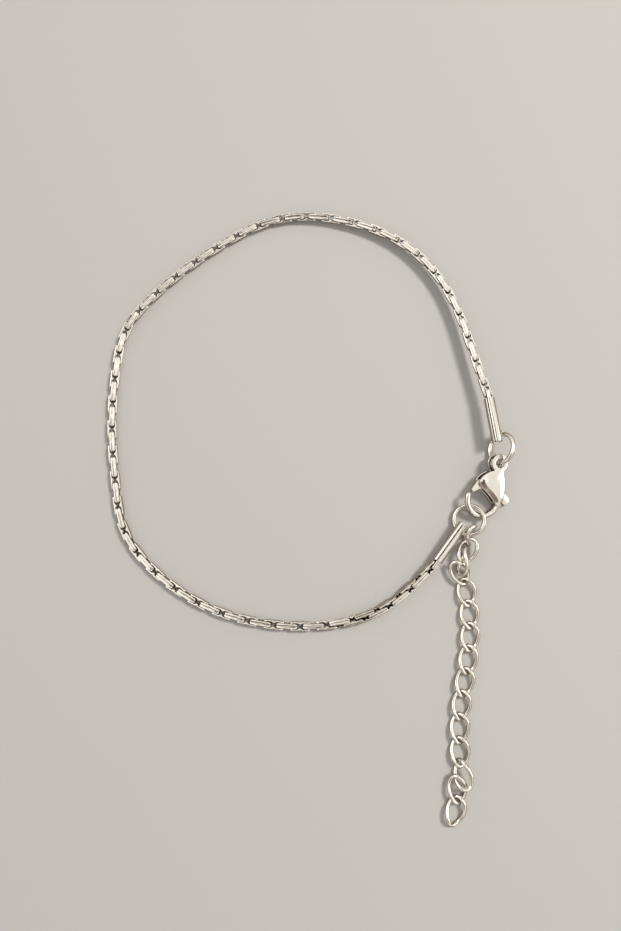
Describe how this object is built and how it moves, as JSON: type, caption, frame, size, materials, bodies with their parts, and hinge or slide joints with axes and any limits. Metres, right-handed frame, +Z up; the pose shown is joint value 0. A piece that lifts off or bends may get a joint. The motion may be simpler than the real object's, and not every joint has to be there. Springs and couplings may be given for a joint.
{
  "type": "chain bracelet",
  "caption": "Steel cobra chain bracelet lying closed, with end tubes, jump rings, a lobster clasp and a curb extension chain.",
  "frame": {"origin": "on the surface that the bracelet lies on, below the middle of its bounding box", "axes": "+Z up out of the surface, +Y from the free end of the extension chain towards the far side of the loop, +X towards the clasp"},
  "size_m": [0.0554, 0.0836, 0.004],
  "materials": {
    "polished_steel": "bright polished stainless steel",
    "satin_steel": "matte tumbled stainless steel of the clasp's lever and pin"
  },
  "bodies": {
    "bracelet": {"cobra_chain": "polished_steel", "end_tube_top": "polished_steel", "end_tube_low": "polished_steel", "clasp_body": "polished_steel", "clasp_pin": "satin_steel", "jump_ring_top": "polished_steel", "jump_ring_low": "polished_steel", "extension_link_01": "polished_steel", "extension_link_02": "polished_steel", "extension_link_03": "polished_steel", "extension_link_04": "polished_steel", "extension_link_05": "polished_steel", "extension_link_06": "polished_steel", "extension_link_07": "polished_steel", "extension_link_08": "polished_steel", "extension_link_09": "polished_steel", "extension_link_10": "polished_steel", "extension_link_11": "polished_steel", "extension_link_12": "polished_steel", "extension_link_13": "polished_steel", "extension_link_14": "polished_steel", "extension_link_15": "polished_steel"},
    "lever": {"clasp_lever": "satin_steel"}
  },
  "joints": [
    {"name": "clasp_lever_hinge", "type": "hinge", "parent": "bracelet", "child": "lever", "pos_m": [0.02511, 0.00213, 0.00141], "axis": [0.2593, -0.1867, 0.9476], "range_deg": [0, 25], "stiffness_Nm_per_rad": 0.0002, "springref_deg": -17.19}
  ]
}
